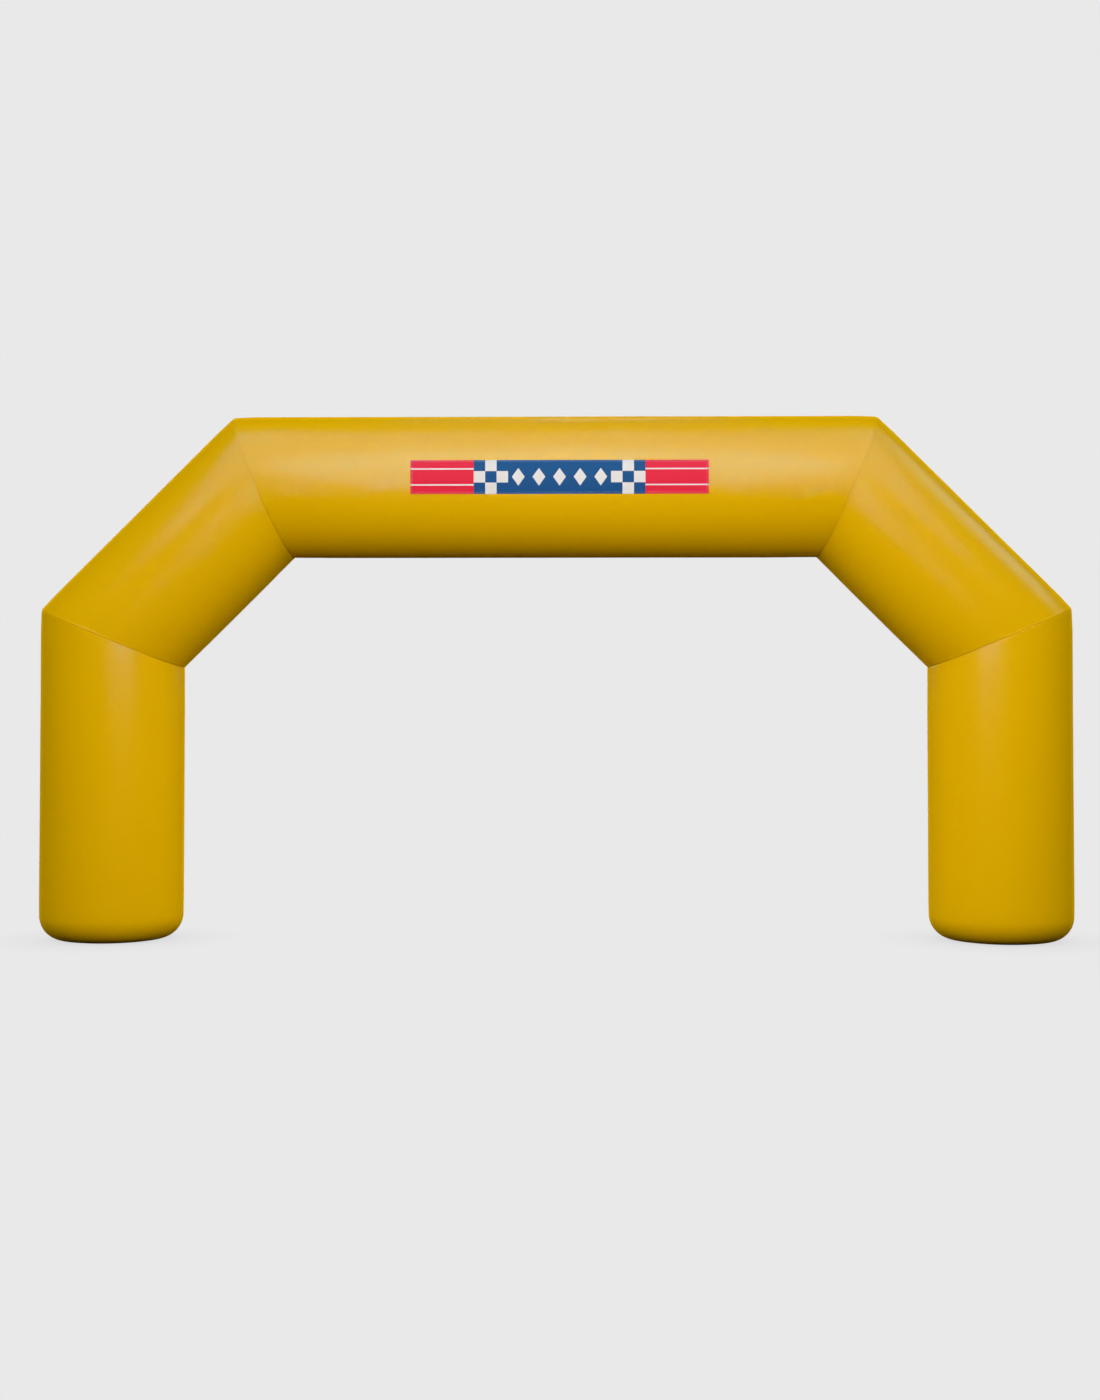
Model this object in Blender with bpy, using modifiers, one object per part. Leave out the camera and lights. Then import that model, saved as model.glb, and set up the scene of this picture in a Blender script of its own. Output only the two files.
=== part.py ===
# An inflatable arch: five tubes of coated cloth sewn end to end at mitred seams and blown up tight.
# Each leg stands on a round base panel, and a plain banner is sewn to the front of the beam.
# The arch stands in the XZ plane and faces -Y, with its origin on the floor midway between the legs.
# Left is -X, as seen from the front. Each tube is a filled solid of its blown-up shape.
import math

import bmesh
import bpy
from mathutils import Matrix, Vector

# Driving dimensions, in metres and degrees.
OVERALL_WIDTH = 6.0
OVERALL_HEIGHT = 3.05
TUBE_RADIUS = 0.41
SHOULDER_RISE = 0.885       # height that a shoulder tube's axis gains between its two seams
KNEE_BEND = 45.0            # turn at a knee seam; the shoulder seam takes the rest of the right angle
FOOT_ROUND = 0.142          # rounding where a leg's wall turns under to the floor
SEAM_ROUND = 0.008          # rounding of the cloth where it is drawn in beside a mitred seam
CLEARANCE = 0.0003          # gap between two pieces that meet
BASE_THICKNESS = 0.002
BASE_MARGIN = 0.006         # the base panel stops this far inside the leg's flat underside
BANNER_LENGTH = 1.68
BANNER_ARC = 27.0           # the banner's height, as a stretch of the beam's round
BANNER_X = 0.03             # middle of the banner, to the right of the beam's middle
BANNER_THICKNESS = 0.002

# Facets.
TUBE_SIDES = 80
FOOT_STEPS = 8
SEAM_STEPS = 3
BASE_SIDES = 48

# Finishes: linear red, green and blue, then roughness.
TUBE_CLOTH = ((0.66, 0.40, 0.004), 0.42)
BASE_CLOTH = ((0.50, 0.30, 0.004), 0.60)
BANNER_CLOTH = ((0.022, 0.085, 0.29), 0.50)

# Worked out from the dimensions above.
LEG_X = OVERALL_WIDTH / 2 - TUBE_RADIUS
BEAM_Z = OVERALL_HEIGHT - TUBE_RADIUS
KNEE_Z = BEAM_Z - SHOULDER_RISE
SHOULDER_BEND = 90.0 - KNEE_BEND
SHOULDER_RUN = SHOULDER_RISE * math.tan(math.radians(KNEE_BEND))
SHOULDER_LENGTH = math.hypot(SHOULDER_RUN, SHOULDER_RISE)
BEAM_HALF = LEG_X - SHOULDER_RUN
LEG_BOTTOM = BASE_THICKNESS + CLEARANCE


def clear_scene():
    for old in list(bpy.data.objects):
        bpy.data.objects.remove(old)


def new_collection(name):
    collection = bpy.data.collections.new(name)
    bpy.context.scene.collection.children.link(collection)
    return collection


def new_material(name, finish):
    colour, roughness = finish
    material = bpy.data.materials.new(name)
    material.use_nodes = True
    shader = material.node_tree.nodes["Principled BSDF"]
    shader.inputs["Base Color"].default_value = (*colour, 1.0)
    shader.inputs["Roughness"].default_value = roughness
    shader.inputs["Metallic"].default_value = 0.0
    material.diffuse_color = (*colour, 1.0)
    return material


def finished_mesh(bm, name, material):
    mesh = bpy.data.meshes.new(name)
    bm.to_mesh(mesh)
    bm.free()
    mesh.materials.append(material)
    mesh.shade_smooth()
    mesh.set_sharp_from_angle(angle=math.radians(40))
    return mesh


def place(collection, name, mesh, location, rotation=(0, 0, 0)):
    piece = bpy.data.objects.new(name, mesh)
    piece.location = location
    piece.rotation_euler = rotation
    collection.objects.link(piece)
    return piece


def new_cylinder(radius, bottom, top, sides):
    # A closed upright cylinder on the Z axis.
    bm = bmesh.new()
    bmesh.ops.create_cone(
        bm,
        cap_ends=True,
        segments=sides,
        radius1=radius,
        radius2=radius,
        depth=top - bottom,
        matrix=Matrix.Translation((0, 0, (bottom + top) / 2)),
    )
    return bm


def round_edges(bm, edges, radius, steps):
    bmesh.ops.bevel(
        bm,
        geom=edges,
        offset=radius,
        offset_type="OFFSET",
        segments=steps,
        profile=0.5,
        affect="EDGES",
    )


def cut_mitre(bm, height, outward):
    # Cuts off what lies outward of a plane through the axis at this height, and returns the new rim.
    # Half of the clearance is taken from each of the two tubes that meet there.
    cut = bmesh.ops.bisect_plane(
        bm,
        geom=bm.verts[:] + bm.edges[:] + bm.faces[:],
        plane_co=Vector((0, 0, height)) - outward * CLEARANCE / 2,
        plane_no=outward,
        clear_outer=True,
    )
    rim = [part for part in cut["geom_cut"] if isinstance(part, bmesh.types.BMEdge)]
    bmesh.ops.edgeloop_fill(bm, edges=rim)
    return rim


def upper_mitre(bm, height, bend):
    tilt = math.radians(bend / 2)
    return cut_mitre(bm, height, Vector((math.sin(tilt), 0, math.cos(tilt))))


def lower_mitre(bm, bend):
    tilt = math.radians(bend / 2)
    return cut_mitre(bm, 0, Vector((math.sin(tilt), 0, -math.cos(tilt))))


def tube_mesh(name, length, lower_bend, upper_bend, material):
    # The tube's axis runs up +Z from its lower seam, and the arch turns towards +X at both seams.
    bm = new_cylinder(TUBE_RADIUS, -TUBE_RADIUS, length + TUBE_RADIUS, TUBE_SIDES)
    rims = lower_mitre(bm, lower_bend) + upper_mitre(bm, length, upper_bend)
    round_edges(bm, rims, SEAM_ROUND, SEAM_STEPS)
    return finished_mesh(bm, name, material)


def leg_mesh(name, material):
    # The leg's axis runs up +Z from the floor. Its wall turns under to a flat round underside.
    bm = new_cylinder(TUBE_RADIUS, LEG_BOTTOM, KNEE_Z + TUBE_RADIUS, TUBE_SIDES)
    foot_rim = [edge for edge in bm.edges if all(v.co.z < KNEE_Z for v in edge.verts)]
    round_edges(bm, foot_rim, FOOT_ROUND, FOOT_STEPS)
    seam_rim = upper_mitre(bm, KNEE_Z, KNEE_BEND)
    round_edges(bm, seam_rim, SEAM_ROUND, SEAM_STEPS)
    return finished_mesh(bm, name, material)


def base_mesh(name, material):
    radius = TUBE_RADIUS - FOOT_ROUND - BASE_MARGIN
    bm = new_cylinder(radius, 0, BASE_THICKNESS, BASE_SIDES)
    return finished_mesh(bm, name, material)


def banner_mesh(name, material):
    # The banner's inner face, bent round the beam's front. Its facets are the beam's own, a gap out.
    steps = round(BANNER_ARC / 360 * TUBE_SIDES)
    radius = TUBE_RADIUS + CLEARANCE / math.cos(math.pi / TUBE_SIDES)
    bm = bmesh.new()
    bmesh.ops.create_grid(bm, x_segments=1, y_segments=steps, size=0.5)
    for vertex in bm.verts:
        angle = math.radians(BANNER_ARC) * vertex.co.y
        height = radius * math.sin(angle)
        vertex.co = Vector((BANNER_LENGTH * vertex.co.x, -radius * math.cos(angle), height))
    return finished_mesh(bm, name, material)


def main():
    clear_scene()
    arch = new_collection("inflatable_arch")
    tube_cloth = new_material("tube_cloth", TUBE_CLOTH)
    base_cloth = new_material("base_cloth", BASE_CLOTH)
    banner_cloth = new_material("banner_cloth", BANNER_CLOTH)

    base = base_mesh("base_panel", base_cloth)
    leg = leg_mesh("leg", tube_cloth)
    shoulder = tube_mesh("shoulder", SHOULDER_LENGTH, KNEE_BEND, SHOULDER_BEND, tube_cloth)
    lean = math.radians(KNEE_BEND)
    # The right side is the left side turned half round.
    for side, x, turn in (("left", -LEG_X, 0), ("right", LEG_X, math.pi)):
        place(arch, f"base_panel_{side}", base, (x, 0, 0))
        place(arch, f"leg_{side}", leg, (x, 0, 0), (0, 0, turn))
        place(arch, f"shoulder_{side}", shoulder, (x, 0, KNEE_Z), (0, lean, turn))

    beam = tube_mesh("beam", 2 * BEAM_HALF, SHOULDER_BEND, SHOULDER_BEND, tube_cloth)
    place(arch, "beam", beam, (-BEAM_HALF, 0, BEAM_Z), (0, math.pi / 2, 0))

    banner = place(arch, "banner", banner_mesh("banner", banner_cloth), (BANNER_X, 0, BEAM_Z))
    thickness = banner.modifiers.new("thickness", "SOLIDIFY")
    thickness.thickness = BANNER_THICKNESS
    thickness.offset = 1
    thickness.use_even_offset = True


main()
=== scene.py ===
import math
import random

import bpy
import numpy as np
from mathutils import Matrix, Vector
from mathutils.bvhtree import BVHTree
from mathutils.geometry import barycentric_transform


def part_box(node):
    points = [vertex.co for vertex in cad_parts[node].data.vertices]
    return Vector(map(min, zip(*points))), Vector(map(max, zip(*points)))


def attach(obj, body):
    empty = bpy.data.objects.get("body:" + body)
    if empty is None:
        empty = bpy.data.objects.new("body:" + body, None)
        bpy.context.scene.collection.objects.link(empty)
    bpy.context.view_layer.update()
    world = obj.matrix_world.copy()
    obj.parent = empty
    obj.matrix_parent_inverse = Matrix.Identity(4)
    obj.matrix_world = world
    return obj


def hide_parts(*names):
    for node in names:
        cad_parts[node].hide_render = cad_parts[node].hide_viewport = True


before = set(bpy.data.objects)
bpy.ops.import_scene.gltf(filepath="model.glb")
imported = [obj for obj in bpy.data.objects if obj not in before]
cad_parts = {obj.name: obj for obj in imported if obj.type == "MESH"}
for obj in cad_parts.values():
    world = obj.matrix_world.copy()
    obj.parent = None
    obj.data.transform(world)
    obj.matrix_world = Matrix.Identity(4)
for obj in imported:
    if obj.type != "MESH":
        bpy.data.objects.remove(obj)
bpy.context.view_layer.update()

bpy.ops.object.select_all(action="DESELECT")

# Lengths are in metres and angles in degrees. The arch faces -Y.

# camera, in front of the arch and a little to the right of its middle

view = {
    "place": (0.098, -9.914, 1.130),
    "lookUp": 1.524,
    "turnLeft": 0.733,
    "focalLength": 43.6,
    "sensorWidth": 36,
    "sightEnds": 200,
}


def addCamera():
    tilt = math.radians(90 + view["lookUp"])
    turn = math.radians(view["turnLeft"])
    bpy.ops.object.camera_add(location=view["place"], rotation=(tilt, 0, turn))
    camera = bpy.context.object
    camera.name = "camera"
    camera.data.lens = view["focalLength"]
    camera.data.sensor_width = view["sensorWidth"]
    camera.data.clip_end = view["sightEnds"]
    bpy.context.scene.camera = camera


addCamera()
print("camera ready")

# the arch's line, read off the frame: five tubes whose axes meet at four corners

arch = {
    "bend": 45.0,
    "shoulderRise": 0.885,    # from the knee's corner up to the shoulder's
    "gap": 0.0003,            # between two pieces that are sewn together
}

beamLow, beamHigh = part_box("beam")
legLow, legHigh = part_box("leg_right")
tubeRadius = (beamHigh.y - beamLow.y) / 2
beamHeight = (beamLow.z + beamHigh.z) / 2
legAcross = (legLow.x + legHigh.x) / 2
kneeHeight = beamHeight - arch["shoulderRise"]
beamHalf = legAcross - arch["shoulderRise"] * math.tan(math.radians(arch["bend"]))
front = np.array((0.0, -1.0, 0.0))

# foot, knee, shoulder, shoulder, knee and foot, from left to right
axisPoints = [
    Vector((-legAcross, 0, legLow.z)),
    Vector((-legAcross, 0, kneeHeight)),
    Vector((-beamHalf, 0, beamHeight)),
    Vector((beamHalf, 0, beamHeight)),
    Vector((legAcross, 0, kneeHeight)),
    Vector((legAcross, 0, legLow.z)),
]
seamCorners = range(1, len(axisPoints) - 1)
tubeNodes = ["leg_left", "shoulder_left", "beam", "shoulder_right", "leg_right"]
tubeNames = ["legTubeLeft", "shoulderTubeLeft", "beamTube", "shoulderTubeRight", "legTubeRight"]
beamNumber = tubeNodes.index("beam")
shoulderNumbers = (beamNumber - 1, beamNumber + 1)


def runOf(number):
    # the way that a tube runs
    return (axisPoints[number + 1] - axisPoints[number]).normalized()


def outerOf(number):
    # square to a tube's axis, away from the gateway
    run = runOf(number)
    return Vector((-run.z, 0, run.x))


def mitreOf(corner):
    # the way that the mitre plane at a seam faces
    return (runOf(corner - 1) + runOf(corner)).normalized()


def seamsOf(number):
    # the seams at a tube's ends: the legs have one, since the other end is a foot
    return [corner for corner in (number, number + 1) if corner in seamCorners]


# how the blown-up cloth lies: what each place on a tube's wall gains or loses in radius

seam = {
    # how far from a seam the mesh has its rings
    "rings": (0.0028, 0.0036, 0.0048, 0.0068, 0.009, 0.010, 0.0112, 0.0122)
    + (0.015, 0.019, 0.024, 0.030, 0.038, 0.048, 0.062, 0.08, 0.105, 0.135),
    "creaseDepth": 0.0006,
    "creaseWidth": 0.0045,
    "cornerRound": 0.050,    # the cloth's bend at the outer side of a corner
    "foldHeight": 0.0006,    # the seam's turnings, sewn down on the shoulder's side
    "foldWidth": 0.0117,
    "stitchRows": (0.0036, 0.0100),
    "dimpleDepth": 0.00022,
    "dimpleWidth": 0.0009,
}
puckers = {
    "pitch": 0.026,
    "depth": 0.00042,
    "width": 0.0085,
    "length": 0.032,
    "reach": 0.13,              # none shows further than this from a seam
    "innerExtra": 0.7,          # how much deeper they are on the inner side of a corner
    "shift": 0.4,               # how far one strays from the even row, in pitches
    "depths": (0.25, 1.0),      # this and the next three are shares of the sizes above
    "depthSteps": (0.5, 1, 1),
    "widths": (0.7, 1.3),
    "lengths": (0.5, 1.6),
    "seed": 11,
}
closing = {
    "half": 0.0062,             # half the width of the lap that closes a tube
    "height": 0.0006,
    "step": 0.0007,             # the lap's edge rises over this width
    "stepOutside": 0.0002,      # and its foot lies this far outside the lap
    "facesBack": 0.9,           # only faces turned back at least this much are cut for it
    "endsBefore": 0.016,        # its stitches stop this far from a mitred seam
    "stitchRows": (-0.0040, 0.0040),
}
slack = {
    "height": 0.0007,
    "waves": 9,
    "turns": (1, 5),            # round the tube
    "perMetre": (-7, 7),        # along the tube, in radians for each metre
    "shares": (0.4, 1),
    "seed": 5,
}


def drawPuckers():
    # small gathers along each side of each seam: where, how deep, how wide and how long
    dice = random.Random(puckers["seed"])
    found = {}
    count = round(2 * math.pi * tubeRadius / puckers["pitch"])
    for corner in seamCorners:
        for number in (corner - 1, corner):
            rows = []
            for step in range(count):
                stray = dice.uniform(-puckers["shift"], puckers["shift"])
                angle = 2 * math.pi * (step + stray) / count
                share = dice.uniform(*puckers["depths"])
                depth = puckers["depth"] * share * dice.choice(puckers["depthSteps"])
                width = puckers["width"] * dice.uniform(*puckers["widths"])
                length = puckers["length"] * dice.uniform(*puckers["lengths"])
                rows.append((angle, depth, width, length))
            found[corner, number] = rows
    return found


def drawSlack():
    # long, low waves in the cloth: turns round it, turn for each metre along it, phase and share
    dice = random.Random(slack["seed"])
    waves = []
    for _ in range(slack["waves"]):
        turns = dice.randint(*slack["turns"])
        perMetre = dice.uniform(*slack["perMetre"])
        phase = dice.uniform(0, 2 * math.pi)
        waves.append((turns, perMetre, phase, dice.uniform(*slack["shares"])))
    return waves


puckerRows = drawPuckers()
slackWaves = drawSlack()


def turned(angle):
    # brings an angle to within half a turn of zero
    return (angle + math.pi) % (2 * math.pi) - math.pi


def wallPoint(number, angle, along):
    # a place on the plain round wall, and its way outwards; angle 0 is the front, 90 the outer side
    run, outer = np.array(runOf(number)), np.array(outerOf(number))
    outwards = np.multiply.outer(np.cos(angle), front) + np.multiply.outer(np.sin(angle), outer)
    centre = np.array(axisPoints[number]) + np.multiply.outer(along, run)
    return centre + tubeRadius * outwards, outwards


def seamReach(number, corner, angle, along):
    # how far a place on the wall is from a seam's plane
    place = wallPoint(number, angle, along)[0]
    return np.abs((place - np.array(axisPoints[corner])) @ np.array(mitreOf(corner)))


def gathered(corner, number, angle, reach):
    # the depth of the puckers, deeper on the inner side of the corner, where cloth is left over
    depth = np.zeros(np.shape(angle))
    near = reach < puckers["reach"]
    spot, far = angle[near], reach[near]
    total = np.zeros(spot.shape)
    for where, deep, width, length in puckerRows[corner, number]:
        across = turned(spot - where) * tubeRadius
        total += deep * np.exp(-((across / width) ** 2) - (far / length) ** 2)
    depth[near] = total * (1 + puckers["innerExtra"] * np.clip(-np.sin(spot), 0, 1))
    return depth


def liftOf(number, angle, along):
    # the cloth's rise from the plain round wall
    lift = swellOf(number, angle, along)
    for turns, perMetre, phase, share in slackWaves:
        wave = np.sin(turns * angle + perMetre * along + phase)
        lift += slack["height"] / slack["waves"] * share * wave
    bend = math.radians(arch["bend"])
    folded = number in shoulderNumbers
    for corner in seamsOf(number):
        reach = seamReach(number, corner, angle, along)
        lift -= seam["creaseDepth"] * np.exp(-((reach / seam["creaseWidth"]) ** 2))
        lift -= gathered(corner, number, angle, reach)
        halfTurn = np.arccos(1 - np.sin(angle) ** 2 * (1 - math.cos(bend))) / 2
        tangent = seam["cornerRound"] * np.tan(halfTurn)
        inside = np.clip(tangent - reach / np.cos(halfTurn), 0, None)
        rounding = seam["cornerRound"] - np.sqrt(seam["cornerRound"] ** 2 - inside**2)
        lift -= np.where(np.sin(angle) > 0, rounding, 0)
        if folded:
            lift += np.where(reach < seam["foldWidth"], seam["foldHeight"], 0)
            for row in seam["stitchRows"]:
                lift -= seam["dimpleDepth"] * np.exp(-(((reach - row) / seam["dimpleWidth"]) ** 2))
    across = turned(angle - math.pi) * tubeRadius
    return lift + np.where(np.abs(across) < closing["half"], closing["height"], 0)


def onCloth(number, angle, along, above=0.0):
    # a place on the cloth itself, or a little above it
    angle, along = np.asarray(angle, float), np.asarray(along, float)
    place, outwards = wallPoint(number, angle, along)
    return place + outwards * (liftOf(number, angle, along) + above)[..., None], outwards


def alongSeam(number, corner, reach, angle):
    # how far along a tube's axis a line lies that keeps one distance from a seam's plane
    run, mitre = np.array(runOf(number)), np.array(mitreOf(corner))
    plain, _ = wallPoint(number, angle, np.zeros(np.shape(angle)))
    side = -1 if corner == number + 1 else 1
    return (side * reach - (plain - np.array(axisPoints[corner])) @ mitre) / (run @ mitre)


# the tubes

tubeMesh = {
    "around": 480,          # columns of cloth mesh round a tube
    "ringEvery": 0.09,
    "clearOfMitre": 0.36,   # plain rings start this far from a mitred corner
    "rings": seam["rings"],
    "footRound": 0.142,
    "footSteps": 18,
    "rimRound": 0.0016,     # the cloth's turn into a seam
    "rimSteps": 2,
    "smoothAngle": 50,
}
touching = {"rim": 0.00005, "end": 0.001}    # points this close to a cut or to an end lie on it


def selectEdges(test):
    # in edit mode, picks the edges whose two ends pass a test
    bpy.ops.mesh.select_mode(type="EDGE")
    bpy.ops.mesh.select_all(action="DESELECT")
    bpy.ops.object.mode_set(mode="OBJECT")
    mesh = bpy.context.object.data
    passed = [test(vertex.co) for vertex in mesh.vertices]
    for edge in mesh.edges:
        edge.select = passed[edge.vertices[0]] and passed[edge.vertices[1]]
    bpy.ops.object.mode_set(mode="EDIT")


def selectFaces(test):
    bpy.ops.mesh.select_mode(type="FACE")
    bpy.ops.mesh.select_all(action="DESELECT")
    bpy.ops.object.mode_set(mode="OBJECT")
    for face in bpy.context.object.data.polygons:
        face.select = test(face)
    bpy.ops.object.mode_set(mode="EDIT")


def cutRing(place, way, **options):
    bpy.ops.mesh.select_all(action="SELECT")
    bpy.ops.mesh.bisect(plane_co=place, plane_no=way, **options)


def cutMitre(corner, outward, detail):
    # cuts a tube's end to its mitre, turns the cloth in at the rim and rings it beside the seam
    way = mitreOf(corner)
    way = way if way.dot(outward) > 0 else -way
    rim = axisPoints[corner] - way * arch["gap"] / 2
    cutRing(rim, way, clear_outer=True, use_fill=True)
    if detail["rimSteps"]:
        selectEdges(lambda place: abs((place - rim).dot(way)) < touching["rim"])
        bpy.ops.mesh.bevel(offset=detail["rimRound"], segments=detail["rimSteps"], profile=0.5)
    for reach in detail["rings"]:
        cutRing(axisPoints[corner] - way * reach, way)


def roundFoot(corner, detail):
    foot = axisPoints[corner].z
    selectEdges(lambda place: abs(place.z - foot) < touching["end"])
    bpy.ops.mesh.bevel(offset=detail["footRound"], segments=detail["footSteps"], profile=0.5)


def cutTube(number, detail):
    run = runOf(number)
    start, end = axisPoints[number], axisPoints[number + 1]
    spare = [tubeRadius if corner in seamCorners else 0 for corner in (number, number + 1)]
    first, last = start - run * spare[0], end + run * spare[1]
    bpy.ops.mesh.primitive_cylinder_add(
        vertices=detail["around"],
        radius=tubeRadius,
        depth=(last - first).length,
        end_fill_type="NGON",
        location=(first + last) / 2,
        rotation=(0, math.atan2(run.x, run.z), 0),
    )
    tube = bpy.context.object
    tube.name = tubeNames[number]
    bpy.ops.object.transform_apply(location=True, rotation=True, scale=True)
    bpy.ops.object.mode_set(mode="EDIT")
    clear = []
    for corner, outward in ((number, -run), (number + 1, run)):
        if corner in seamCorners:
            cutMitre(corner, outward, detail)
            clear.append(detail["clearOfMitre"])
        else:
            roundFoot(corner, detail)
            clear.append(detail["footRound"])
    stretch = (end - start).length - sum(clear)
    count = max(1, round(stretch / detail["ringEvery"]))
    for ring in range(count + 1):
        cutRing(start + run * (clear[0] + stretch * ring / count), run)
    bpy.ops.mesh.select_all(action="DESELECT")
    bpy.ops.object.mode_set(mode="OBJECT")
    return tube


def cutClosingSeam(number):
    # columns at the edges of the lap that closes the tube, down the middle of its back
    outer = outerOf(number)
    bpy.ops.object.mode_set(mode="EDIT")
    for side in (-1, 1):
        for inset in (0, closing["step"]):
            selectFaces(lambda face: face.normal.y > closing["facesBack"])
            reach = closing["half"] - inset + closing["stepOutside"]
            place = axisPoints[number] + outer * side * reach
            bpy.ops.mesh.bisect(plane_co=place, plane_no=outer)
    bpy.ops.mesh.select_all(action="DESELECT")
    bpy.ops.object.mode_set(mode="OBJECT")


def readPoints(mesh):
    points = np.empty(len(mesh.vertices) * 3)
    mesh.vertices.foreach_get("co", points)
    return points.reshape(-1, 3)


def writePoints(mesh, points):
    mesh.vertices.foreach_set("co", points.ravel())
    mesh.update()


def placesOnTube(points, number):
    # each point's angle round the tube, its place along the axis and its distance from the axis
    run, outer = np.array(runOf(number)), np.array(outerOf(number))
    offset = points - np.array(axisPoints[number])
    along = offset @ run
    radial = offset - np.multiply.outer(along, run)
    return np.arctan2(radial @ outer, radial @ front), along, np.linalg.norm(radial, axis=1)


# the air inside: coarser tubes, cut a little too small, held at their seams and blown up

blowing = {
    "around": 72,
    "ringEvery": 0.055,
    "clearOfMitre": 0.2,
    "rings": (0.02, 0.045, 0.08, 0.13),
    "footRound": 0.142,
    "footSteps": 6,
    "rimSteps": 0,
    "pressure": 4.0,
    "frames": 12,
    "quality": 6,
    "tooSmall": 0.002,      # the cloth is cut this much too small, and the air makes it up
    "mostRise": 0.005,      # cap on how far the air may push it
}


def holdSeams(wall, number):
    # the cloth stays where it is sewn to the next tube, and where it stands
    points = readPoints(wall.data)
    held = points[:, 2] < legLow.z + touching["end"]
    for corner in seamsOf(number):
        reach = (points - np.array(axisPoints[corner])) @ np.array(mitreOf(corner))
        held |= np.abs(reach) < touching["end"]
    group = wall.vertex_groups.new(name="held")
    group.add(np.flatnonzero(held).tolist(), 1.0, "REPLACE")


def blowUp(walls):
    scene = bpy.context.scene
    for wall in walls:
        cloth = wall.modifiers.new("air", "CLOTH")
        cloth.settings.quality = blowing["quality"]
        cloth.settings.use_pressure = True
        cloth.settings.uniform_pressure_force = blowing["pressure"]
        cloth.settings.vertex_group_mass = "held"
        cloth.settings.effector_weights.gravity = 0
        cloth.collision_settings.use_collision = False
        cloth.point_cache.frame_end = blowing["frames"]
    for step in range(1, blowing["frames"] + 1):
        scene.frame_set(step)
    for wall in walls:
        bpy.context.view_layer.objects.active = wall
        bpy.ops.object.modifier_apply(modifier="air")
    scene.frame_set(1)


def trianglesOf(wall):
    # a wall's points and triangles, once it is subdivided
    bpy.context.view_layer.objects.active = wall
    wall.modifiers.new("finer", "SUBSURF").levels = 1
    bpy.ops.object.modifier_apply(modifier="finer")
    wall.data.calc_loop_triangles()
    corners = [tuple(triangle.vertices) for triangle in wall.data.loop_triangles]
    return [Vector(point) for point in readPoints(wall.data)], corners


def simulateWalls():
    # for the left half and the beam: the plain wall as a tree to look places up in, its points
    # before and after the air, and its triangles
    plain = [cutTube(number, blowing) for number in range(beamNumber + 1)]
    blown = []
    for number, wall in enumerate(plain):
        holdSeams(wall, number)
        copy = wall.copy()
        copy.data = wall.data.copy()
        bpy.context.collection.objects.link(copy)
        blown.append(copy)
    blowUp(blown)
    found = []
    for before, after in zip(plain, blown):
        start, corners = trianglesOf(before)
        end, _ = trianglesOf(after)
        found.append((BVHTree.FromPolygons(start, corners), start, end, corners))
    for wall in plain + blown:
        bpy.data.objects.remove(wall)
    return found


blownWalls = simulateWalls()
print("tubes blown up")


def swellOf(number, angle, along):
    # how far the air pushes a place of the wall outwards; the right half mirrors the left
    if not blownWalls:
        return np.zeros(np.shape(angle))
    mirrored = number > beamNumber
    tree, start, end, corners = blownWalls[2 * beamNumber - number if mirrored else number]
    mirror = np.array((-1 if mirrored else 1, 1, 1))
    places, outwards = [(each * mirror).reshape(-1, 3) for each in wallPoint(number, angle, along)]
    rise = []
    for place, way in zip(places, outwards):
        near, _, index, _ = tree.find_nearest(place)
        a, b, c = corners[index]
        moved = barycentric_transform(near, start[a], start[b], start[c], end[a], end[b], end[c])
        rise.append((moved - near).dot(Vector(way)))
    rise = np.array(rise).reshape(np.shape(angle))
    return blowing["mostRise"] * np.tanh(rise / blowing["mostRise"]) - blowing["tooSmall"]


def settleCloth(tube, number):
    # gives the wall the cloth's own shape; the flat ends in the seams and under the foot stay
    points = readPoints(tube.data)
    angle, along, radius = placesOnTube(points, number)
    outwards = wallPoint(number, angle, along)[1]
    fading = np.clip((points[:, 2] - legLow.z) / tubeMesh["footRound"], 0, 1)
    wall = (radius > tubeRadius - 2 * tubeMesh["rimRound"]) | (points[:, 2] < tubeMesh["footRound"])
    lift = np.where(wall, liftOf(number, angle, along) * fading, 0)
    writePoints(tube.data, points + outwards * lift[:, None])


def mapCloth(tube, number):
    # the cloth's own flat measure in metres, round and along, for its weave
    mesh = tube.data
    angle, along, _ = placesOnTube(readPoints(mesh), number)
    corners = np.empty(len(mesh.loops), int)
    mesh.loops.foreach_get("vertex_index", corners)
    turn = angle[corners]
    starts = np.empty(len(mesh.polygons), int)
    counts = np.empty(len(mesh.polygons), int)
    mesh.polygons.foreach_get("loop_start", starts)
    mesh.polygons.foreach_get("loop_total", counts)
    first = np.repeat(turn[starts], counts)
    turn = first + turned(turn - first)
    flat = np.stack([turn * tubeRadius, along[corners]], axis=1)
    layer = mesh.uv_layers.new(name="clothMeasure")
    layer.data.foreach_set("uv", flat.ravel())


# finishes: gloss is the specular level, and deep and bright are the ends of a cloth's colour

finishes = {
    "tubeCloth": {
        "deep": (0.775, 0.456, 0.0),
        "bright": (0.825, 0.496, 0.0),
        "roughness": (0.215, 0.235),
        "gloss": 0.5,
        "glancing": (0.5, 0.76),    # the gloss fades out between these, where 1 is edge on
        "weave": 0.0011,            # from one thread to the next
        "weaveDepth": 0.00002,
        "crinkle": 0.00012,
    },
    "baseCloth": {
        "deep": (0.44, 0.26, 0.003),
        "bright": (0.53, 0.32, 0.004),
        "roughness": (0.52, 0.64),
        "gloss": 0.4,
        "weave": 0.0016,
        "weaveDepth": 0.00006,
        "crinkle": 0.0001,
    },
    "bannerPrint": {
        "deep": (0.94, 0.94, 0.94),
        "bright": (1.0, 1.0, 1.0),
        "roughness": (0.45, 0.55),
        "gloss": 0.2,
        "weave": 0.0007,
        "weaveDepth": 0.00002,
        "crinkle": 0.0001,
    },
}
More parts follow.
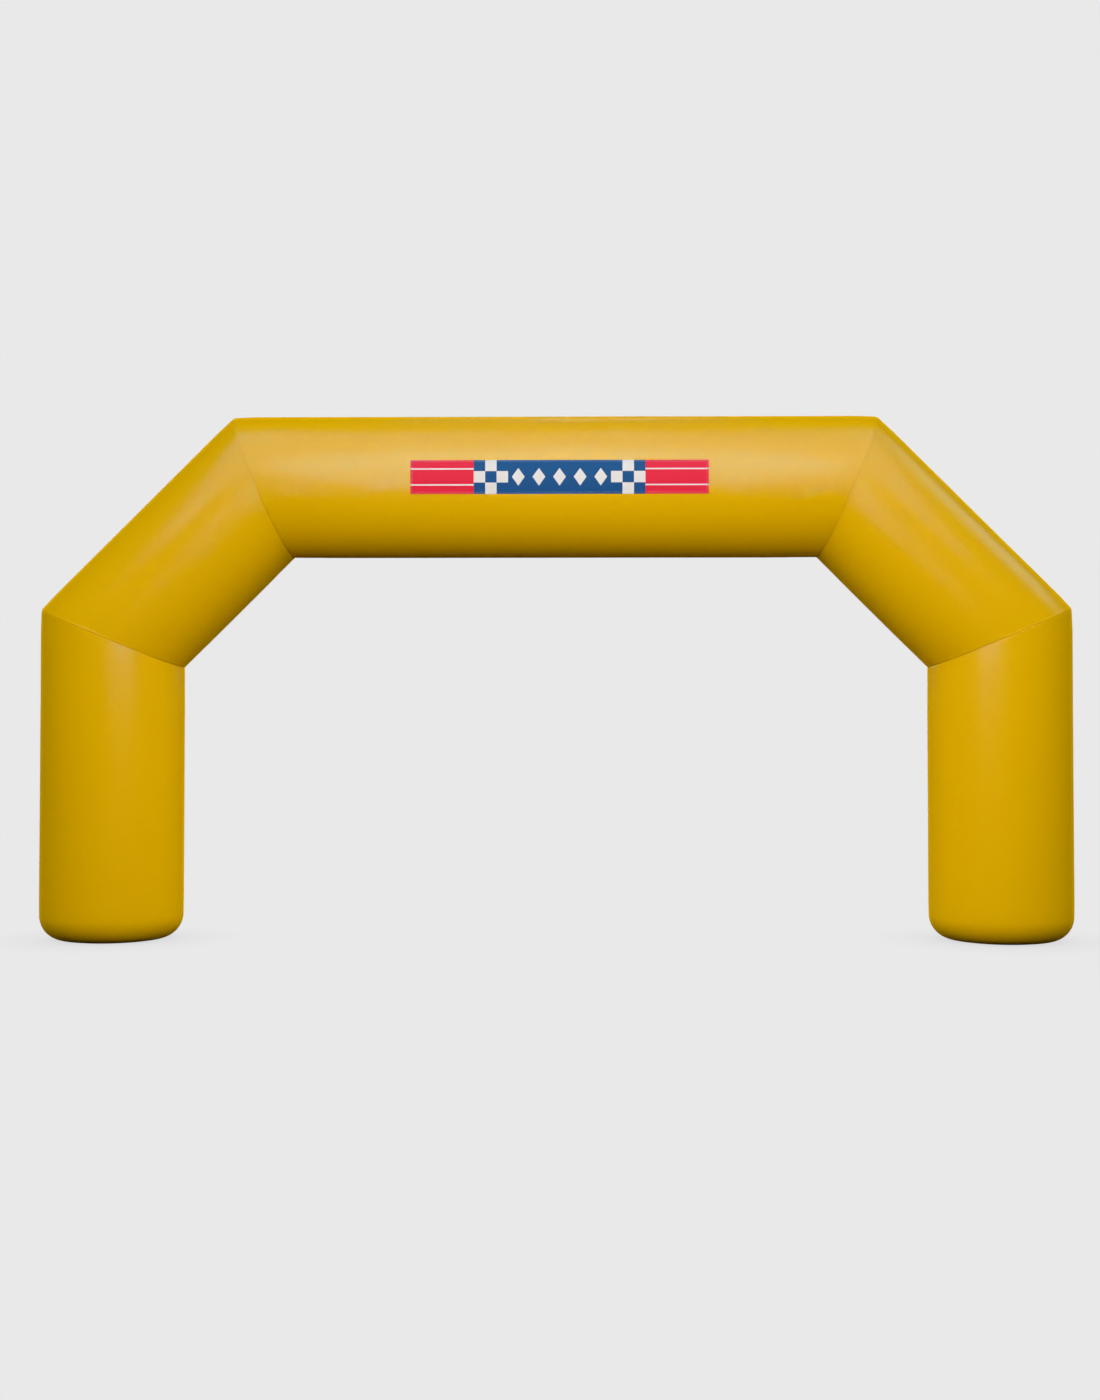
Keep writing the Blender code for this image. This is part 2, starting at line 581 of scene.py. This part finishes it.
variation = {
    "patches": {"scale": 1.3, "detail": 3.0},
    "blotches": {"scale": 14.0, "detail": 2.0},
    "crinkles": {"scale": 55.0, "detail": 3.0},
    "patchShare": 0.7,
    "blotchShare": 0.3,
    "blotchRange": (0.3, 0.7),
}
threads = {"tubeThread": (0.70, 0.39, 0.01), "bannerThread": (0.78, 0.78, 0.76)}
threadLook = {
    "roughness": 0.5,
    "darker": 0.78,
    "fibres": {"scale": 2500.0, "detail": 2.0},
    "relief": 0.4,
    "reliefDepth": 0.0001,
}


def newMaterial(name, colour, roughness):
    material = bpy.data.materials.new(name)
    material.use_nodes = True
    shader = material.node_tree.nodes["Principled BSDF"]
    shader.inputs["Base Color"].default_value = (*colour, 1)
    shader.inputs["Roughness"].default_value = roughness
    material.diffuse_color = (*colour, 1)
    return material


def addNode(tree, kind, values=None, **options):
    # a node whose sockets are filled with numbers or with other nodes' results
    node = tree.nodes.new(kind)
    for option, value in options.items():
        setattr(node, option, value)
    for socket, value in (values or {}).items():
        if isinstance(value, bpy.types.NodeSocket):
            tree.links.new(value, node.inputs[socket])
        else:
            node.inputs[socket].default_value = value
    return node


def work(tree, operation, *values):
    # one step of arithmetic
    return addNode(tree, "ShaderNodeMath", dict(enumerate(values)), operation=operation).outputs[0]


def blendColours(tree, share, first, second, blend="MIX"):
    # a Mix node's colours are its sockets 6 and 7, and its third result is the mixed one
    mix = tree.nodes.new("ShaderNodeMix")
    mix.data_type = "RGBA"
    mix.blend_type = blend
    for number, value in ((0, share), (6, first), (7, second)):
        if isinstance(value, bpy.types.NodeSocket):
            tree.links.new(value, mix.inputs[number])
        else:
            mix.inputs[number].default_value = value if isinstance(value, float) else (*value, 1)
    return mix.outputs[2]


def noiseAt(tree, place, scale, detail):
    noise = addNode(tree, "ShaderNodeTexNoise", {"Vector": place, "Scale": scale, "Detail": detail})
    return noise.outputs[0]


def mapRange(tree, value, wanted, given):
    # turns one range of numbers into another
    ends = {"From Min": wanted[0], "From Max": wanted[1], "To Min": given[0], "To Max": given[1]}
    return addNode(tree, "ShaderNodeMapRange", {"Value": value} | ends).outputs[0]


def flatPlace(tree):
    # round and along the cloth, in metres of its flat measure
    measure = addNode(tree, "ShaderNodeUVMap", uv_map="clothMeasure").outputs[0]
    split = addNode(tree, "ShaderNodeSeparateXYZ", {0: measure})
    return split.outputs[0], split.outputs[1]


def weaveHeight(tree, pitch):
    # threads that pass over and under each other, from -1 to 1
    turns = [work(tree, "MULTIPLY", side, math.pi / pitch) for side in flatPlace(tree)]
    return work(tree, "MULTIPLY", *[work(tree, "SINE", turn) for turn in turns])


def clothFinish(name):
    # coated cloth: patches of slightly unlike colour and gloss, and a weave that shows weakly
    look = finishes[name]
    material = newMaterial(name, look["bright"], look["roughness"][0])
    tree = material.node_tree
    shader = tree.nodes["Principled BSDF"]
    place = addNode(tree, "ShaderNodeTexCoord").outputs["Object"]
    patches = noiseAt(tree, place, **variation["patches"])
    blotches = noiseAt(tree, place, **variation["blotches"])
    crinkles = noiseAt(tree, place, **variation["crinkles"])
    wide = work(tree, "MULTIPLY", patches, variation["patchShare"])
    small = work(tree, "MULTIPLY", blotches, variation["blotchShare"])
    colour = blendColours(tree, work(tree, "ADD", wide, small), look["deep"], look["bright"])
    tree.links.new(colour, shader.inputs["Base Color"])
    roughness = mapRange(tree, blotches, variation["blotchRange"], look["roughness"])
    tree.links.new(roughness, shader.inputs["Roughness"])
    shader.inputs["Specular IOR Level"].default_value = look["gloss"]
    if "glancing" in look:
        edgeOn = addNode(tree, "ShaderNodeLayerWeight", {"Blend": 0.5}).outputs["Facing"]
        gloss = mapRange(tree, edgeOn, look["glancing"], (look["gloss"], 0))
        tree.links.new(gloss, shader.inputs["Specular IOR Level"])
    height = work(tree, "MULTIPLY", weaveHeight(tree, look["weave"]), look["weaveDepth"])
    height = work(tree, "ADD", height, work(tree, "MULTIPLY", crinkles, look["crinkle"]))
    relief = addNode(tree, "ShaderNodeBump", {"Strength": 1.0, "Distance": 1.0, "Height": height})
    tree.links.new(relief.outputs[0], shader.inputs["Normal"])
    return material


def threadFinish(name):
    # spun thread: its fibres show as a fine unevenness of colour and relief
    colour = threads[name]
    material = newMaterial(name, colour, threadLook["roughness"])
    tree = material.node_tree
    shader = tree.nodes["Principled BSDF"]
    place = addNode(tree, "ShaderNodeTexCoord").outputs["Object"]
    fibres = noiseAt(tree, place, **threadLook["fibres"])
    darker = tuple(part * threadLook["darker"] for part in colour)
    tree.links.new(blendColours(tree, fibres, darker, colour), shader.inputs["Base Color"])
    strength, depth = threadLook["relief"], threadLook["reliefDepth"]
    bumps = {"Strength": strength, "Distance": depth, "Height": fibres}
    relief = addNode(tree, "ShaderNodeBump", bumps)
    tree.links.new(relief.outputs[0], shader.inputs["Normal"])
    return material


tubeCloth = clothFinish("tubeCloth")
tubeThread = threadFinish("tubeThread")
print("finishes mixed")

for number, node in enumerate(tubeNodes):
    tube = cutTube(number, tubeMesh)
    cutClosingSeam(number)
    mapCloth(tube, number)
    settleCloth(tube, number)
    tube.data.materials.append(tubeCloth)
    bpy.ops.object.shade_smooth_by_angle(angle=math.radians(tubeMesh["smoothAngle"]))
    tube.select_set(False)
    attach(tube, "root")
    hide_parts(node)
    print(tube.name, len(tube.data.polygons), "faces")

# stitching

stitch = {
    "pitch": 0.0052,
    "length": 0.0038,
    "thread": 0.0006,
    "sides": 5,
    "sunk": 0.0001,
    "middleShare": 0.5,
    "facesEnd": 0.9,
    "endDrop": 0.55,                # in thread widths
    "endSize": (0.5, 0.55, 0.55),
    "aimStep": 0.2,                 # its way is that of its row this many points to each side
    "stepsRound": 1201,             # points on a row round a tube, and on one along it
    "stepsAlong": 400,
}


def modelStitch():
    # one stitch along X, lying on Z 0, its two ends drawn down into the cloth
    middle = stitch["length"] * stitch["middleShare"]
    bpy.ops.mesh.primitive_cylinder_add(
        vertices=stitch["sides"],
        radius=stitch["thread"] / 2,
        depth=middle,
        rotation=(0, math.pi / 2, 0),
    )
    one = bpy.context.object
    bpy.ops.object.transform_apply(location=True, rotation=True, scale=True)
    bpy.ops.object.mode_set(mode="EDIT")
    for side in (-1, 1):
        selectFaces(lambda face: face.normal.x * side > stitch["facesEnd"])
        reach = (stitch["length"] - middle) / 2
        drop = stitch["thread"] * stitch["endDrop"]
        move = {"value": (side * reach, 0, -drop)}
        bpy.ops.mesh.extrude_region_move(TRANSFORM_OT_translate=move)
        bpy.ops.transform.resize(value=stitch["endSize"])
    bpy.ops.object.mode_set(mode="OBJECT")
    shape = readPoints(one.data)
    faces = [tuple(face.vertices) for face in one.data.polygons]
    bpy.data.objects.remove(one)
    return shape, faces


stitchPoints, stitchFaces = modelStitch()


def sewStitches(name, places, alongs, outs, material, slot):
    # copies the one stitch to each place and joins them in one piece
    along = alongs / np.linalg.norm(alongs, axis=1)[:, None]
    sideways = np.cross(outs, along)
    sideways /= np.linalg.norm(sideways, axis=1)[:, None]
    up = np.cross(along, sideways)
    axes = np.stack([along, sideways, up], axis=1)
    lifted = stitchPoints + np.array((0, 0, stitch["thread"] / 2 - stitch["sunk"]))
    points = places[:, None, :] + np.einsum("pk,ska->spa", lifted, axes)
    starts = np.arange(len(places)) * len(stitchPoints)
    faces = []
    for start in starts.tolist():
        faces += [[start + corner for corner in face] for face in stitchFaces]
    mesh = bpy.data.meshes.new(name)
    mesh.from_pydata(points.reshape(-1, 3).tolist(), [], faces)
    mesh.materials.append(material)
    mesh.shade_smooth()
    piece = bpy.data.objects.new(name, mesh)
    bpy.context.scene.collection.objects.link(piece)
    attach(piece, "root")
    return piece


def evenly(path, pitch):
    # the middles of stitches at an even pitch along a path, counted in its points
    steps = np.linalg.norm(np.diff(path, axis=0), axis=1)
    length = np.concatenate([[0], np.cumsum(steps)])
    count = int(length[-1] / pitch)
    wanted = (np.arange(count) + 0.5) * length[-1] / count
    return np.interp(wanted, length, np.arange(len(path)))


def sewRow(number, angles, alongs, above=0.0):
    # the places, ways and outward ways of one row of stitches on a tube's cloth, or above it
    path, _ = onCloth(number, angles, alongs, above)
    at = evenly(path, stitch["pitch"])
    steps = np.arange(len(path))

    def pointAt(count):
        angle = np.interp(count, steps, angles)
        return onCloth(number, angle, np.interp(count, steps, alongs), above)

    places, outs = pointAt(at)
    step = stitch["aimStep"]
    return places, pointAt(at + step)[0] - pointAt(at - step)[0], outs


def joinRows(rows):
    return [np.concatenate(parts) for parts in zip(*rows)]


allRound = np.linspace(-math.pi, math.pi, stitch["stepsRound"])
seamNames = {1: "KneeLeft", 2: "ShoulderLeft", 3: "ShoulderRight", 4: "KneeRight"}

# round each mitred seam, through the turnings on the shoulder's side
for number in shoulderNumbers:
    for corner in seamsOf(number):
        rows = []
        for reach in seam["stitchRows"]:
            rows.append(sewRow(number, allRound, alongSeam(number, corner, reach, allRound)))
        places, alongs, outs = joinRows(rows)
        name = f"stitches{seamNames[corner]}"
        sewStitches(name, places, alongs, outs, tubeThread, "tube_cloth")
        print(name, len(places), "stitches")

# down the middle of each tube's back
back = math.pi
for number, tubeName in enumerate(tubeNames):
    ends = []
    for corner in (number, number + 1):
        if corner in seamCorners:
            ends.append(float(alongSeam(number, corner, closing["endsBefore"], np.array(back))))
        elif corner == number:
            ends.append(tubeMesh["footRound"])
        else:
            ends.append((axisPoints[corner] - axisPoints[number]).length - tubeMesh["footRound"])
    alongs = np.linspace(*ends, stitch["stepsAlong"])
    rows = []
    for across in closing["stitchRows"]:
        rows.append(sewRow(number, np.full(alongs.shape, back + across / tubeRadius), alongs))
    name = f"closingStitches{tubeName[0].upper()}{tubeName[1:]}"
    sewStitches(name, *joinRows(rows), tubeThread, "tube_cloth")
print("seams sewn")

# banner

banner = {
    "hem": 0.014,
    "hemStep": 0.0006,      # the hem's inner edge falls over this width
    "hemHeight": 0.0005,
    "hemMargin": 0.0001,
    "thickness": 0.0011,
    "columns": 168,
    "rows": 28,
    "smoothAngle": 50,
    "stitchRows": (0.0045, 0.0105),
    "stitchSteps": 200,
}
bannerLow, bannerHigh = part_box("banner")
bannerSize = (1.68, 0.193)
bannerX = (bannerLow.x + bannerHigh.x) / 2


def hangBanner():
    # a flat sheet of the banner's cut size, with its hem marked out, laid round the beam's front
    width, height = bannerSize
    columns, rows = banner["columns"], banner["rows"]
    bpy.ops.mesh.primitive_grid_add(x_subdivisions=columns, y_subdivisions=rows, size=1)
    sheet = bpy.context.object
    sheet.name = "bannerCloth"
    bpy.ops.object.mode_set(mode="EDIT")
    bpy.ops.transform.resize(value=(width, height, 1))
    for half, way in ((width / 2, Vector((1, 0, 0))), (height / 2, Vector((0, 1, 0)))):
        for side in (-1, 1):
            for inset in (banner["hem"], banner["hem"] + banner["hemStep"]):
                cutRing(way * side * (half - inset), way)
    bpy.ops.object.mode_set(mode="OBJECT")
    mesh = sheet.data
    flat = readPoints(mesh)[:, :2]
    corners = np.empty(len(mesh.loops), int)
    mesh.loops.foreach_get("vertex_index", corners)
    mesh.uv_layers[0].name = "clothMeasure"
    mesh.uv_layers[0].data.foreach_set("uv", flat[corners].ravel())
    inner = np.array((width / 2, height / 2)) - banner["hem"] - banner["hemMargin"]
    inHem = np.any(np.abs(flat) > inner, axis=1)
    above = arch["gap"] + np.where(inHem, banner["hemHeight"], 0)
    middle = beamHalf + bannerX
    points, _ = onCloth(beamNumber, flat[:, 1] / tubeRadius, middle + flat[:, 0], above)
    writePoints(mesh, points)
    bpy.ops.object.mode_set(mode="EDIT")
    bpy.ops.mesh.select_all(action="SELECT")
    bpy.ops.mesh.normals_make_consistent(inside=False)
    bpy.ops.mesh.select_all(action="DESELECT")
    bpy.ops.object.mode_set(mode="OBJECT")
    if mesh.polygons[0].normal.y > 0:
        mesh.flip_normals()
    thick = sheet.modifiers.new("thickness", "SOLIDIFY")
    thick.thickness = banner["thickness"]
    thick.offset = 1
    bpy.ops.object.modifier_apply(modifier=thick.name)
    bpy.ops.object.shade_smooth_by_angle(angle=math.radians(banner["smoothAngle"]))
    sheet.select_set(False)
    return sheet


motif = {
    "blue": (0.017, 0.080, 0.262),
    "red": (0.810, 0.013, 0.045),
    "white": (0.80, 0.80, 0.79),
    "lozengePitch": 0.116,
    "lozengeHalf": (0.036, 0.050),
    "blueHalf": 0.29,         # five lozenges fill the blue middle
    "checkRows": 3,
    "checkColumns": 3,
    "pinstripe": 0.045,
    "pinstripeHalf": 0.004,
}


def printBanner(material):
    # lozenges in the middle, a chequer on each side and pinstripes at the ends
    tree = material.node_tree
    shader = tree.nodes["Principled BSDF"]
    u, v = flatPlace(tree)
    fromMiddle, fromLine = work(tree, "ABSOLUTE", u), work(tree, "ABSOLUTE", v)
    halfPitch = motif["lozengePitch"] / 2
    inCell = work(tree, "ABSOLUTE", work(tree, "WRAP", u, halfPitch, -halfPitch))
    wide, high = motif["lozengeHalf"]
    sideways, upwards = work(tree, "DIVIDE", inCell, wide), work(tree, "DIVIDE", fromLine, high)
    slant = work(tree, "ADD", sideways, upwards)
    lozenge = work(tree, "LESS_THAN", slant, 1.0)
    square = bannerSize[1] / motif["checkRows"]
    pastBlue = work(tree, "SUBTRACT", fromMiddle, motif["blueHalf"])
    column = work(tree, "FLOOR", work(tree, "DIVIDE", pastBlue, square))
    fromEdge = work(tree, "ADD", v, bannerSize[1] / 2)
    row = work(tree, "FLOOR", work(tree, "DIVIDE", fromEdge, square))
    check = work(tree, "FLOORED_MODULO", work(tree, "ADD", column, row), 2.0)
    pinstripe = work(tree, "COMPARE", fromLine, motif["pinstripe"], motif["pinstripeHalf"])
    inMiddle = work(tree, "LESS_THAN", fromMiddle, motif["blueHalf"])
    checkEnd = motif["blueHalf"] + motif["checkColumns"] * square
    atEnds = work(tree, "GREATER_THAN", fromMiddle, checkEnd)
    inChecks = work(tree, "SUBTRACT", work(tree, "SUBTRACT", 1.0, inMiddle), atEnds)
    white = 0.0
    for part, figure in ((inMiddle, lozenge), (inChecks, check), (atEnds, pinstripe)):
        white = work(tree, "ADD", white, work(tree, "MULTIPLY", part, figure))
    ground = blendColours(tree, atEnds, motif["blue"], motif["red"])
    ink = blendColours(tree, white, ground, motif["white"])
    wear = shader.inputs["Base Color"].links[0].from_socket
    worn = blendColours(tree, 1.0, ink, wear, "MULTIPLY")
    tree.links.new(worn, shader.inputs["Base Color"])


bannerPrint = clothFinish("bannerPrint")
bannerThread = threadFinish("bannerThread")
sheet = hangBanner()
printBanner(bannerPrint)
sheet.data.materials.clear()
sheet.data.materials.append(bannerPrint)
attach(sheet, "root")
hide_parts("banner")


def sewBanner():
    # rows of stitches round the banner, through its hem and into the beam's cloth
    rows = []
    rise = arch["gap"] + banner["thickness"] + banner["hemHeight"]
    for inset in banner["stitchRows"]:
        halfWide, halfHigh = bannerSize[0] / 2 - inset, bannerSize[1] / 2 - inset
        edges = (
            ((-halfWide, halfWide), (-halfHigh, -halfHigh)),
            ((halfWide, -halfWide), (halfHigh, halfHigh)),
            ((halfWide, halfWide), (-halfHigh, halfHigh)),
            ((-halfWide, -halfWide), (halfHigh, -halfHigh)),
        )
        for across, up in edges:
            u = np.linspace(*across, banner["stitchSteps"])
            v = np.linspace(*up, banner["stitchSteps"])
            rows.append(sewRow(beamNumber, v / tubeRadius, beamHalf + bannerX + u, rise))
    return sewStitches("bannerStitches", *joinRows(rows), bannerThread, "banner_cloth")


bannerStitches = sewBanner()
print("banner hung and sewn")

# base panels, the round pieces of heavier cloth that close the feet

base = {
    "sides": 160,
    "edgeRound": 0.0005,
    "facesDown": 0.99,
    "stitchRing": 0.250,
    "groove": (0.0022, 0.0008),     # how wide and how deep
    "grooveShares": (0.3, 0.4, 0.3),
    "smoothAngle": 40,
}
baseCloth = clothFinish("baseCloth")


def cutBase(node, name):
    low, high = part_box(node)
    middle = (low + high) / 2
    radius = (high.x - low.x) / 2
    bpy.ops.mesh.primitive_cylinder_add(
        vertices=base["sides"],
        radius=radius,
        depth=high.z - low.z,
        end_fill_type="NGON",
        location=middle,
    )
    disc = bpy.context.object
    disc.name = name
    bpy.ops.object.transform_apply(location=True, rotation=True, scale=True)
    bpy.ops.object.mode_set(mode="EDIT")
    for side in (-1, 1):
        selectEdges(lambda place: (place.z - middle.z) * side > 0)
        bpy.ops.mesh.bevel(offset=base["edgeRound"], segments=2, profile=0.5)
    # underneath: the groove that its stitches lie in
    wide, deep = base["groove"]
    downhill, bottom, uphill = base["grooveShares"]
    selectFaces(lambda face: face.normal.z < -base["facesDown"])
    bpy.ops.mesh.inset(thickness=radius - base["edgeRound"] - base["stitchRing"] - wide / 2)
    bpy.ops.mesh.inset(thickness=wide * downhill)
    bpy.ops.transform.translate(value=(0, 0, deep))
    bpy.ops.mesh.inset(thickness=wide * bottom)
    bpy.ops.mesh.inset(thickness=wide * uphill)
    bpy.ops.transform.translate(value=(0, 0, -deep))
    bpy.ops.mesh.select_all(action="DESELECT")
    bpy.ops.object.mode_set(mode="OBJECT")
    mesh = disc.data
    corners = np.empty(len(mesh.loops), int)
    mesh.loops.foreach_get("vertex_index", corners)
    layer = mesh.uv_layers[0] if mesh.uv_layers else mesh.uv_layers.new()
    layer.name = "clothMeasure"
    flat = readPoints(mesh)[:, :2] - np.array(middle)[:2]
    layer.data.foreach_set("uv", flat[corners].ravel())
    mesh.materials.append(baseCloth)
    bpy.ops.object.shade_smooth_by_angle(angle=math.radians(base["smoothAngle"]))
    disc.select_set(False)
    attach(disc, "root")
    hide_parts(node)
    return disc, middle, radius, low.z


def sewBase(name, middle, bottom):
    # one round of stitches in the groove, clear of the ground
    count = int(2 * math.pi * base["stitchRing"] / stitch["pitch"])
    turn = 2 * math.pi * np.arange(count) / count
    ways = np.stack([np.cos(turn), np.sin(turn), np.zeros(count)], axis=1)
    places = ways * base["stitchRing"] + np.array((middle.x, middle.y, bottom + base["groove"][1]))
    alongs = np.stack([-np.sin(turn), np.cos(turn), np.zeros(count)], axis=1)
    outs = np.tile((0.0, 0.0, -1.0), (count, 1))
    return sewStitches(name, places, alongs, outs, tubeThread, "base_cloth")


for side in ("left", "right"):
    disc, middle, radius, bottom = cutBase(f"base_panel_{side}", f"basePanel{side.title()}")
    row = sewBase(f"baseStitches{side.title()}", middle, bottom)
print("base panels cut")

# light: gloss lamps are seen only in reflections, and the others only light the cloth

glossLamps = {
    "keyLow": {
        "place": (0, -3.2, 2.45),
        "aim": (0, 0, 2.35),
        "size": (4.6, 1.7),
        "glow": 0.26,
        "spread": 95,       # narrows the lamp's beam
    },
    "keyMiddle": {
        "place": (0, -3.2, 3.7),
        "aim": (0, 0, 1.57),
        "size": (4.4, 4.2),
        "glow": 1.64,
        "shape": "ELLIPSE",
    },
    "keyWings": {
        "place": (0, -1.8, 4.9),
        "aim": (0, 0, 1.95),
        "size": (9, 4.2),
        "glow": 1.35,
    },
    "rimRight": {
        "place": (5.3, 0.6, 4.9),
        "aim": (2.4, -0.3, 2.3),
        "size": (2, 2),
        "glow": 1.15,
    },
    "keyBehind": {
        "place": (0, 3.2, 3.7),
        "aim": (0, 0, 1.57),
        "size": (4.4, 4.2),
        "glow": 1.2,
        "shape": "ELLIPSE",
    },
}
glossColour = (0.12, 0.76, 1.0)

fills = {
    "fillFront": {
        "place": (0, -5.5, 2.8),
        "aim": (0, 0, 2.6),
        "size": (5, 1.2),
        "glow": 6.13,
        "colour": (1, 1, 1),
    },
    "fillWide": {
        "place": (0, -4.2, 1.5),
        "aim": (0, 0, 1.5),
        "size": (9, 1.4),
        "glow": 1.71,
        "colour": (1, 0.87, 0.8),
    },
    "fillSpot": {
        "place": (0.3, -4.8, 1.6),
        "aim": (0.3, 0, 1.4),
        "size": (2, 1.6),
        "glow": 2.33,
        "colour": (1, 0.63, 0.45),
    },
    "fillRight": {
        "place": (3, -4.2, 1.8),
        "aim": (3, 0, 1.8),
        "size": (3, 1.2),
        "glow": 0.69,
        "colour": (1, 1, 1),
    },
}

# the soft light all round: where each comes from, how wide it is and how strong
suns = {
    "sunLeft": {"source": (-1, 0, 0.35), "wide": 110, "strength": 2.54},
    "sunRight": {"source": (1, 0, 0.35), "wide": 110, "strength": 2.41},
    "sunBack": {"source": (0, 1, 0.35), "wide": 110, "strength": 2.19},
}
sunColour = (1, 0.97, 0.94)
backdropTone = (0.8148, 0.8148, 0.8148)


def setLamp(lamp, name, colour, gloss):
    # rays that stray into a lamp by chance aren't counted, which keeps highlights free of specks
    lamp.name = name
    lamp.data.color = colour
    lamp.data.cycles.use_multiple_importance_sampling = False
    lamp.visible_camera = False
    lamp.visible_diffuse = not gloss
    lamp.visible_glossy = gloss


def addLamp(name, gloss, place, aim, size, glow, colour, spread=180, shape="RECTANGLE"):
    way = Vector(aim) - Vector(place)
    turn = way.to_track_quat("-Z", "Y").to_euler()
    bpy.ops.object.light_add(type="AREA", location=place, rotation=turn)
    lamp = bpy.context.object
    lamp.data.shape = shape
    lamp.data.size, lamp.data.size_y = size
    lamp.data.energy = glow * math.pi * size[0] * size[1]
    lamp.data.spread = math.radians(spread)
    setLamp(lamp, name, colour, gloss)


def addSun(name, source, wide, strength):
    turn = (-Vector(source)).to_track_quat("-Z", "Y").to_euler()
    bpy.ops.object.light_add(type="SUN", rotation=turn)
    sun = bpy.context.object
    sun.data.angle = math.radians(wide)
    sun.data.energy = strength
    setLamp(sun, name, sunColour, False)


for name, lamp in glossLamps.items():
    addLamp(name, True, **lamp, colour=glossColour)
for name, lamp in fills.items():
    addLamp(name, False, **lamp)
for name, sun in suns.items():
    addSun(name, **sun)


def lightWorld():
    # a plain pale backdrop that gives no light itself
    world = bpy.data.worlds.new("studio")
    bpy.context.scene.world = world
    world.use_nodes = True
    tree = world.node_tree
    tree.nodes.clear()
    path = addNode(tree, "ShaderNodeLightPath")
    seen = {"Color": (*backdropTone, 1), "Strength": path.outputs["Is Camera Ray"]}
    backdrop = addNode(tree, "ShaderNodeBackground", seen)
    addNode(tree, "ShaderNodeOutputWorld", {"Surface": backdrop.outputs[0]})
    bpy.context.scene.view_settings.view_transform = "Standard"


lightWorld()

floorLook = {"size": 60, "shadeReach": 0.4, "shadeDepth": 0.15}


def layFloor():
    # the backdrop's own tone, with a painted shadow that darkens it close to what stands on it
    bpy.ops.mesh.primitive_plane_add(size=floorLook["size"])
    floor = bpy.context.object
    floor.name = "floor"
    floor.visible_diffuse = False
    floor.visible_glossy = False
    material = bpy.data.materials.new("paleFloor")
    material.use_nodes = True
    tree = material.node_tree
    tree.nodes.clear()
    # painted shadow: the floor's glow is dimmed where the arch is near, not shaded by the lamps
    near = addNode(tree, "ShaderNodeAmbientOcclusion", {"Distance": floorLook["shadeReach"]})
    closeness = work(tree, "SUBTRACT", 1.0, near.outputs["AO"])
    paintedShade = work(tree, "MULTIPLY", closeness, floorLook["shadeDepth"])
    glow = {"Color": (*backdropTone, 1), "Strength": work(tree, "SUBTRACT", 1.0, paintedShade)}
    light = addNode(tree, "ShaderNodeEmission", glow)
    addNode(tree, "ShaderNodeOutputMaterial", {"Surface": light.outputs[0]})
    material.cycles.emission_sampling = "NONE"
    floor.data.materials.append(material)


layFloor()
print("stage ready")
